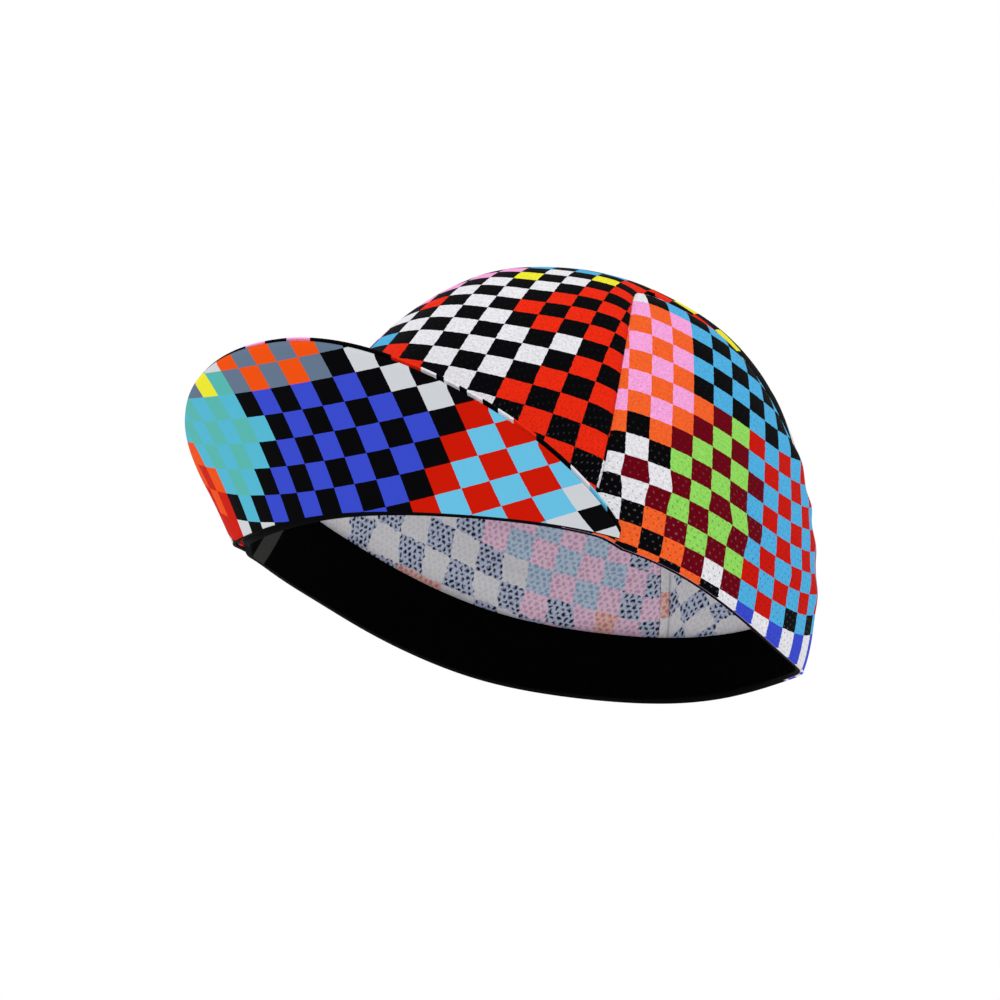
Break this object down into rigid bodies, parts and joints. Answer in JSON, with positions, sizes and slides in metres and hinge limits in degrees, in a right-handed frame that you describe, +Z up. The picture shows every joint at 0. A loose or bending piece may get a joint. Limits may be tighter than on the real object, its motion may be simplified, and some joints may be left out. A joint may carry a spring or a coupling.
{
  "type": "cycling cap",
  "caption": "Soft cycling cap of sewn mesh panels with a turned up peak and a sweatband inside the rim.",
  "frame": {"origin": "middle of the head opening, level with the mean height of the rim", "axes": "+Z up through the crown, -Y towards the peak, +X towards the wearer's left"},
  "size_m": [0.1618, 0.2328, 0.1173],
  "materials": {
    "crown_mesh": "knitted mesh, printed with checks",
    "band_knit": "black brushed knit tape",
    "peak_twill": "smooth fine twill, printed with checks"
  },
  "bodies": {
    "root": {"crown_centre_panel": "crown_mesh", "crown_left_panel": "crown_mesh", "crown_right_panel": "crown_mesh", "sweatband": "band_knit", "peak_under_cover": "peak_twill", "peak_top_cover": "peak_twill"}
  },
  "joints": []
}
